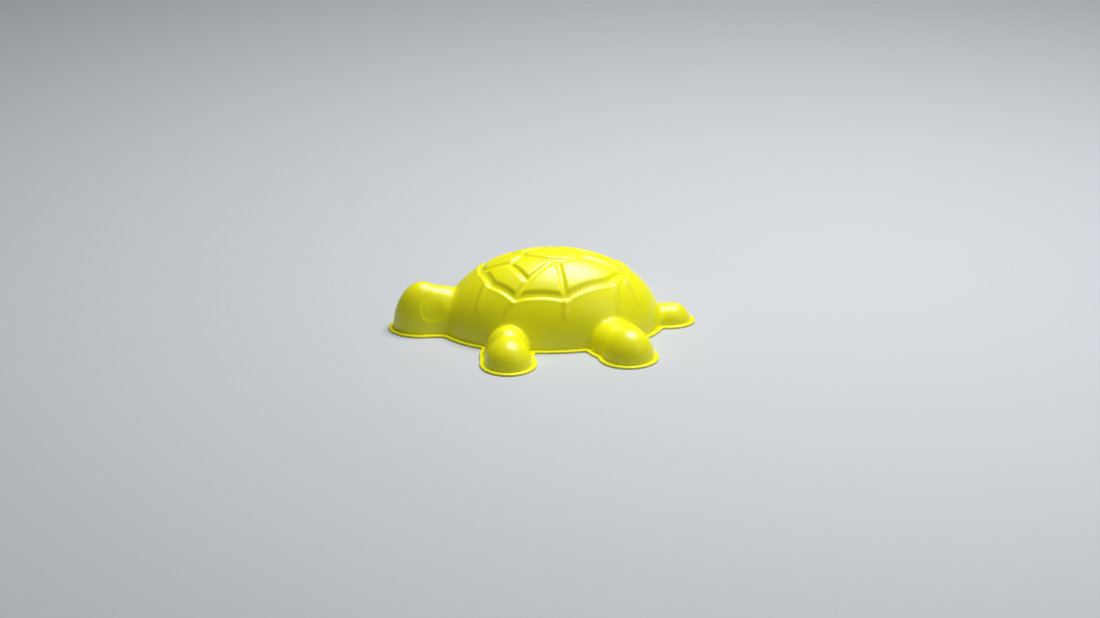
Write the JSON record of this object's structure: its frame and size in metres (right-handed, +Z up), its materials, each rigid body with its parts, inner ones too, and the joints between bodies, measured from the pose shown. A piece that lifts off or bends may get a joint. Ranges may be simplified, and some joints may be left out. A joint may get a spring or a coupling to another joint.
{
  "type": "floating pool thermometer",
  "caption": "Hollow turtle-shaped pool float with a bimetal dial thermometer in its belly, a screwed belly plate and a tether eye.",
  "frame": {"origin": "middle of the plane of the rim, on which the float rests out of the water", "axes": "+X to the tail, -X to the head, +Z up; the dial faces -Z"},
  "size_m": [0.15, 0.127, 0.0386],
  "materials": {
    "yellow_plastic": "glossy injection moulded, slightly translucent at the rim",
    "seal_rubber": "matt black moulded rubber",
    "stainless_steel": "turned and brushed stainless steel",
    "white_plastic": "white moulded plastic with a fine satin texture",
    "clear_plastic": "clear polished acrylic",
    "printed_dial": "white painted aluminium with black print",
    "bush_brass": "turned brass",
    "bimetal_strip": "rolled bimetal strip",
    "pointer_paint": "red painted aluminium"
  },
  "bodies": {
    "float_body": {"upper_shell": "yellow_plastic", "belly_plate": "yellow_plastic", "rim_seal": "seal_rubber", "belly_screws": "stainless_steel", "screw_seals": "seal_rubber", "capsule_case": "white_plastic", "capsule_gasket": "seal_rubber", "bezel": "stainless_steel", "bezel_screws": "stainless_steel", "lens": "clear_plastic", "lens_gasket": "seal_rubber", "dial_plate": "printed_dial", "dial_screws": "stainless_steel", "movement_bridge": "stainless_steel", "front_bush": "bush_brass", "rear_bush": "bush_brass", "bimetal_coil": "bimetal_strip", "coil_stud": "stainless_steel"},
    "pointer_assembly": {"pointer": "pointer_paint", "pointer_hub": "bush_brass", "arbor": "stainless_steel", "coil_collet": "bush_brass"}
  },
  "joints": [
    {"name": "pointer_turn", "type": "hinge", "parent": "float_body", "child": "pointer_assembly", "pos_m": [0.004, 0, 0.007], "axis": [0, 0, 1], "range_deg": [-135, 135], "stiffness_Nm_per_rad": 0.00002, "deforming": ["bimetal_coil"]}
  ]
}
